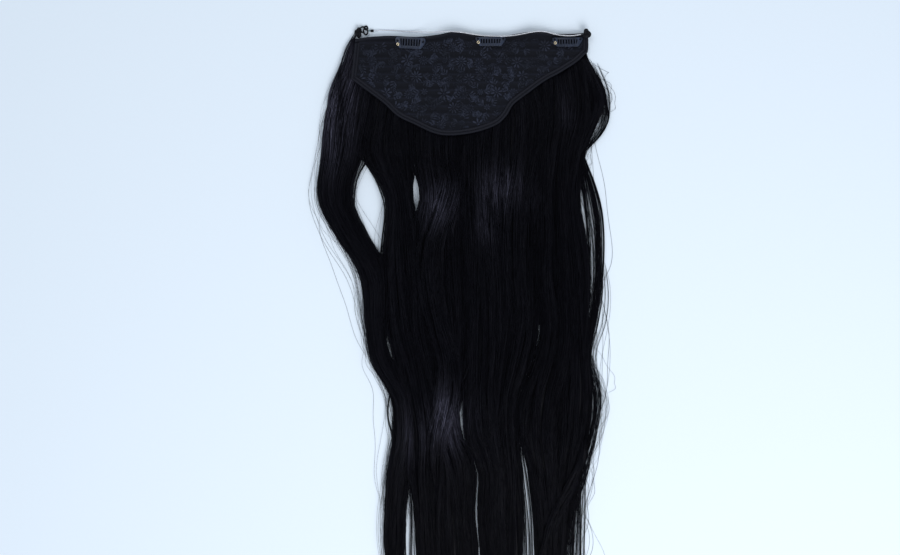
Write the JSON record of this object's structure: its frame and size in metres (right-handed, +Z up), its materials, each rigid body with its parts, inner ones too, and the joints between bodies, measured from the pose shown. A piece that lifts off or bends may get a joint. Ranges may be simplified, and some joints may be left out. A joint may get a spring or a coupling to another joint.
{
  "type": "halo hair extension",
  "caption": "Wavy clip-in halo hair piece: lace panel over sewn wefts, ribbon binding, snap comb clips and a clear halo wire.",
  "frame": {"origin": "on the flat underside, below the middle of the lace panel, 50 mm in from the band's edge", "axes": "+Y towards the band that sits on the head, -Y to the tips of the hair, +X to the right with the lace side up, +Z up through the lace"},
  "size_m": [0.3017, 0.6476, 0.0221],
  "materials": {
    "hair": "near black wavy hair with a soft sheen",
    "weft_thread": "black sewing thread",
    "lace": "floral lace, blue-black",
    "ribbon": "woven ribbon, blue-black",
    "clip_paint": "satin slate paint",
    "brass": "polished eyelet",
    "clear_nylon": "clear nylon",
    "crimp": "black crimp bead",
    "collar": "clear sleeve",
    "elastic": "black braided elastic cord"
  },
  "bodies": {
    "root": {"hair": "hair", "lace_panel": "lace", "binding": "ribbon", "top_hem": "ribbon", "weft_track_01": "weft_thread", "weft_track_02": "weft_thread", "weft_track_03": "weft_thread", "weft_track_04": "weft_thread", "weft_track_05": "weft_thread", "weft_track_06": "weft_thread", "weft_track_07": "weft_thread", "weft_track_08": "weft_thread", "weft_track_09": "weft_thread", "weft_track_10": "weft_thread", "weft_track_11": "weft_thread", "clip_left_frame": "clip_paint", "clip_left_rivet": "brass", "clip_middle_frame": "clip_paint", "clip_middle_rivet": "brass", "clip_right_frame": "clip_paint", "clip_right_rivet": "brass", "halo_wire": "clear_nylon", "crimp_bead": "crimp", "wire_collar": "collar", "elastic_ring": "elastic", "elastic_loop": "elastic", "left_knot": "elastic", "right_knot": "elastic"},
    "left_comb": {"clip_left_comb": "clip_paint"},
    "middle_comb": {"clip_middle_comb": "clip_paint"},
    "right_comb": {"clip_right_comb": "clip_paint"}
  },
  "joints": [
    {"name": "left_comb_hinge", "type": "hinge", "parent": "root", "child": "left_comb", "pos_m": [-0.06253, 0.04369, 0.00876], "axis": [-0.9986, 0.0523, 0], "range_deg": [0, 38]},
    {"name": "middle_comb_hinge", "type": "hinge", "parent": "root", "child": "middle_comb", "pos_m": [0.02141, 0.0438, 0.00885], "axis": [-1, 0, 0], "range_deg": [0, 38]},
    {"name": "right_comb_hinge", "type": "hinge", "parent": "root", "child": "right_comb", "pos_m": [0.10208, 0.0432, 0.00918], "axis": [-1, -0.0087, 0], "range_deg": [0, 38]}
  ]
}
